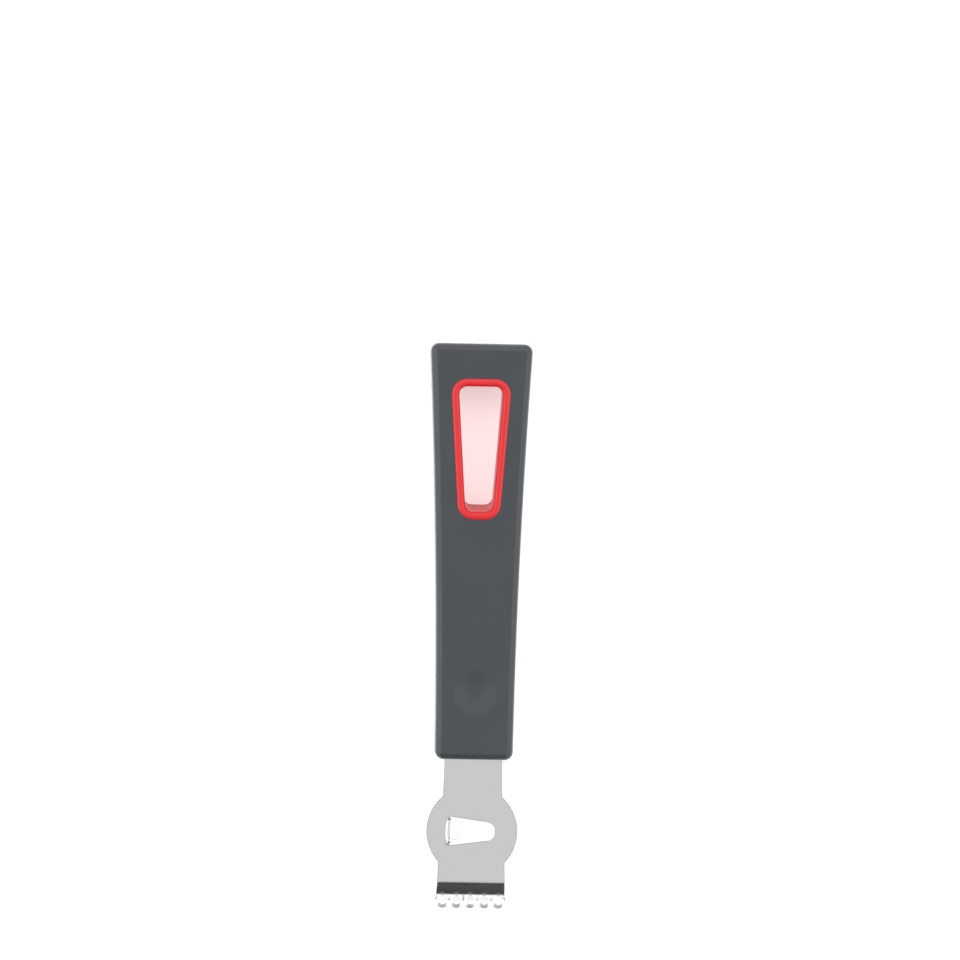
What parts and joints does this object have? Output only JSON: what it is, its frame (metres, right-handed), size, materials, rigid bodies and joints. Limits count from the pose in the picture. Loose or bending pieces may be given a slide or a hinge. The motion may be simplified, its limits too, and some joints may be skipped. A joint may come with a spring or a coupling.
{
  "type": "citrus zester",
  "caption": "Hand zester: a steel blade with a row of ring cutters at its bent end and a channel cutter in its disc, moulded into a flat handle with a lined hanging slot.",
  "frame": {"origin": "below the middle of the box, on the plane of the handle's back", "axes": "+Z from the back to the thumb face, +Y along the tool towards its hanging end, +X to the right when the thumb face is seen with the hanging end up"},
  "size_m": [0.0314, 0.1758, 0.0125],
  "materials": {
    "handle": "moulded, fine satin texture, dark grey",
    "slot_liner": "moulded, smooth, bright red",
    "blade": "stamped stainless sheet, fine satin"
  },
  "bodies": {
    "root": {"handle": "handle", "slot_liner": "slot_liner", "blade": "blade"}
  },
  "joints": []
}
